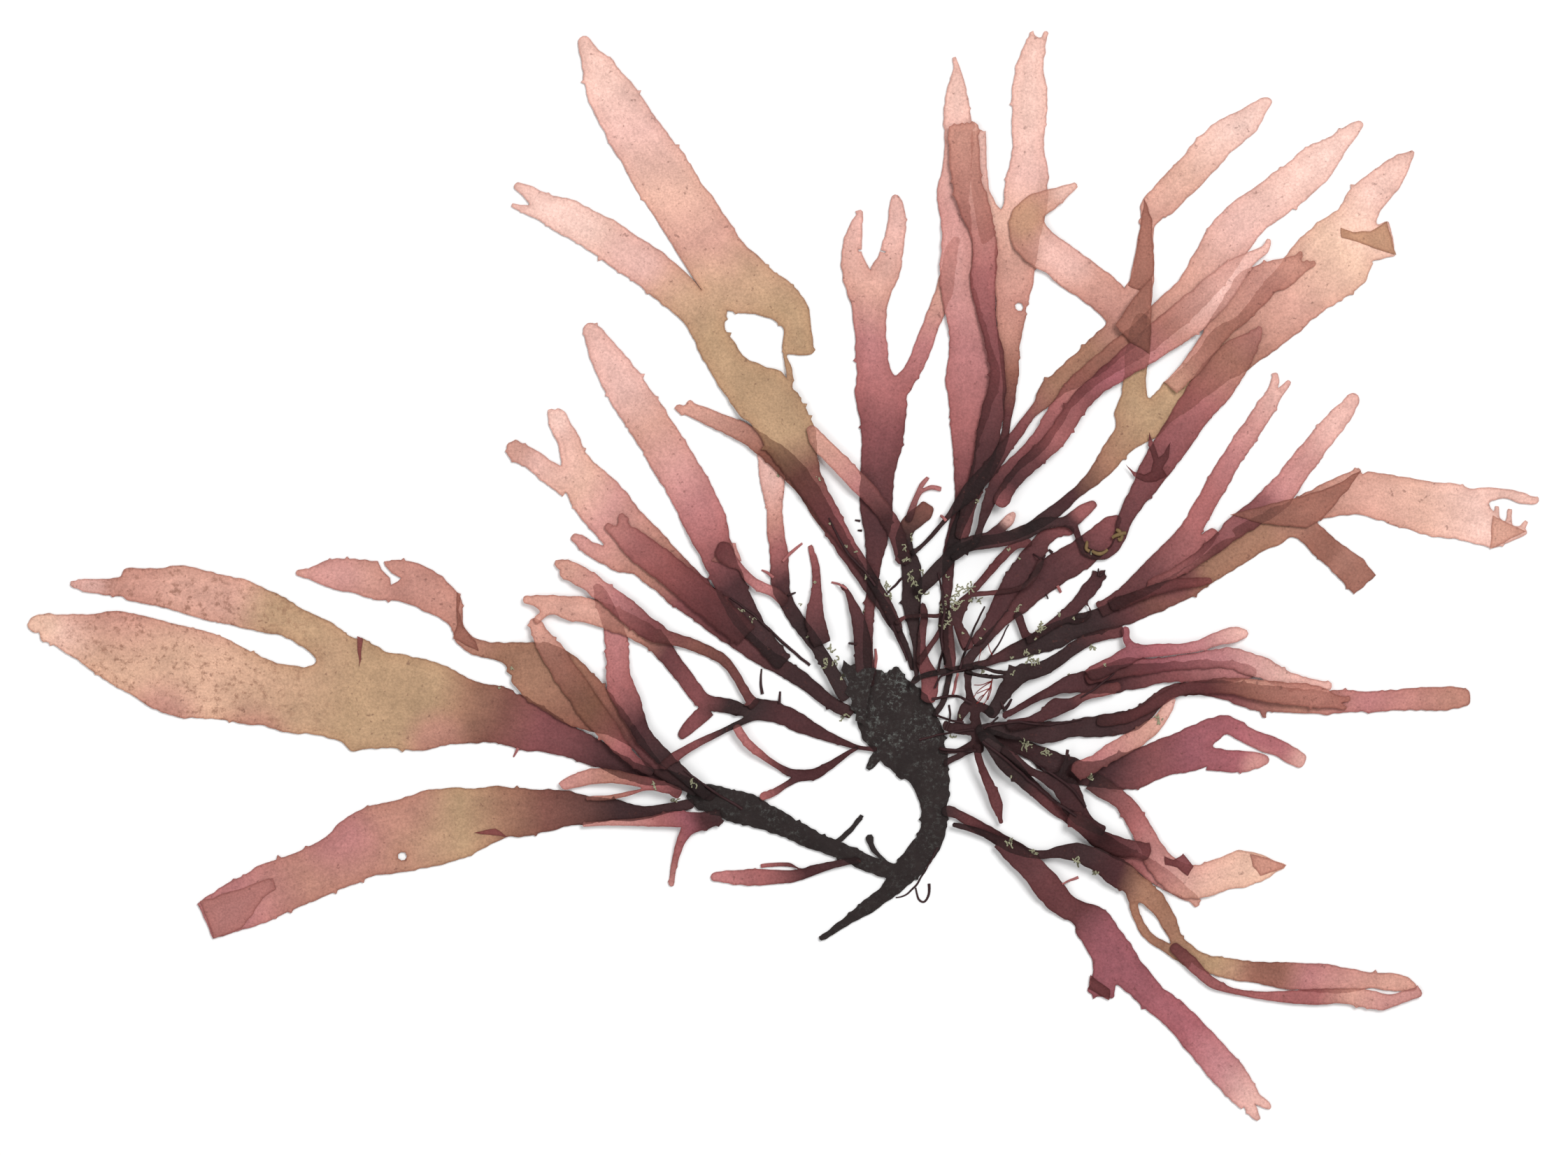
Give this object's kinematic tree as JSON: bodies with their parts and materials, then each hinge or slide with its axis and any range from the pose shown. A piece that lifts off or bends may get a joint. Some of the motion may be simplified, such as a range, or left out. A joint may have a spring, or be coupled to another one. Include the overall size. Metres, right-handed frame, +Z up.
{
  "type": "pressed dulse specimen",
  "caption": "Dried, pressed dulse: flat forked red-pink fronds fanned out from one short dark stipe, lying flat on a surface.",
  "frame": {"origin": "on the surface under the stipe, at the middle of its flat underside where the fronds meet", "axes": "+X along the spread's longest side, to the right in the picture; +Y up the picture; +Z up, away from the surface"},
  "size_m": [0.3599, 0.2597, 0.0069],
  "materials": {
    "pale_pink_blade": "matt dried blade",
    "peach_blade": "matt dried blade",
    "rose_blade": "matt dried blade",
    "mauve_blade": "matt dried blade",
    "olive_tan_blade": "matt dried blade",
    "maroon_blade": "matt dried blade",
    "dark_stipe": "matt, wrinkled, dry stalk"
  },
  "bodies": {
    "root": {"stipe_and_old_blade": "dark_stipe", "left_low_frond": "olive_tan_blade", "left_broad_forked_frond": "peach_blade", "left_upper_frond": "rose_blade", "left_upright_frond": "rose_blade", "left_hanging_branch": "mauve_blade", "left_narrow_frond": "pale_pink_blade", "left_small_lobe": "pale_pink_blade", "stipe_side_frond": "mauve_blade", "middle_long_thin_frond": "mauve_blade", "middle_short_thin_frond": "mauve_blade", "middle_branchlets": "mauve_blade", "upper_left_forked_frond": "peach_blade", "centre_thin_frond": "rose_blade", "upper_left_broad_frond": "peach_blade", "upper_left_inner_frond": "mauve_blade", "centre_bent_sprig": "rose_blade", "centre_small_frond": "mauve_blade", "top_left_three_lobed_frond": "rose_blade", "centre_short_frond": "maroon_blade", "upper_left_arching_frond": "rose_blade", "upper_torn_frond": "peach_blade", "centre_curved_frond": "mauve_blade", "centre_slanting_frond": "rose_blade", "top_straight_frond": "rose_blade", "top_right_straight_frond": "pale_pink_blade", "top_cut_end_frond": "rose_blade", "top_right_forked_frond": "peach_blade", "centre_forked_sprig": "rose_blade", "centre_root_frond": "maroon_blade", "right_broad_notched_frond": "rose_blade", "dark_inner_frond": "maroon_blade", "dark_inner_left_frond": "maroon_blade", "right_inner_forked_tip_frond": "rose_blade", "right_arching_frond": "rose_blade", "right_small_side_frond": "mauve_blade", "dark_small_frond": "maroon_blade", "right_broad_spoon_frond": "peach_blade", "looped_stalk_frond": "mauve_blade", "right_twin_tip_frond": "rose_blade", "far_right_long_frond": "rose_blade", "right_slender_frond": "pale_pink_blade", "dark_thread_branches": "maroon_blade", "lower_forked_frond": "rose_blade", "lower_long_straight_frond": "rose_blade", "lower_mid_frond": "mauve_blade", "dark_lower_frond": "maroon_blade", "dark_lower_sprig": "maroon_blade", "lower_diagonal_frond": "rose_blade", "lower_broad_tip_frond": "peach_blade", "lower_side_branch": "mauve_blade", "lower_upturned_branch": "mauve_blade", "lower_upper_frond": "rose_blade", "lower_top_frond": "rose_blade", "lower_overlying_frond": "mauve_blade", "lower_ragged_frond": "mauve_blade", "lower_short_tuft": "maroon_blade", "lowest_long_frond": "rose_blade", "lowest_broad_tip_frond": "rose_blade", "lowest_second_frond": "pale_pink_blade"}
  },
  "joints": []
}
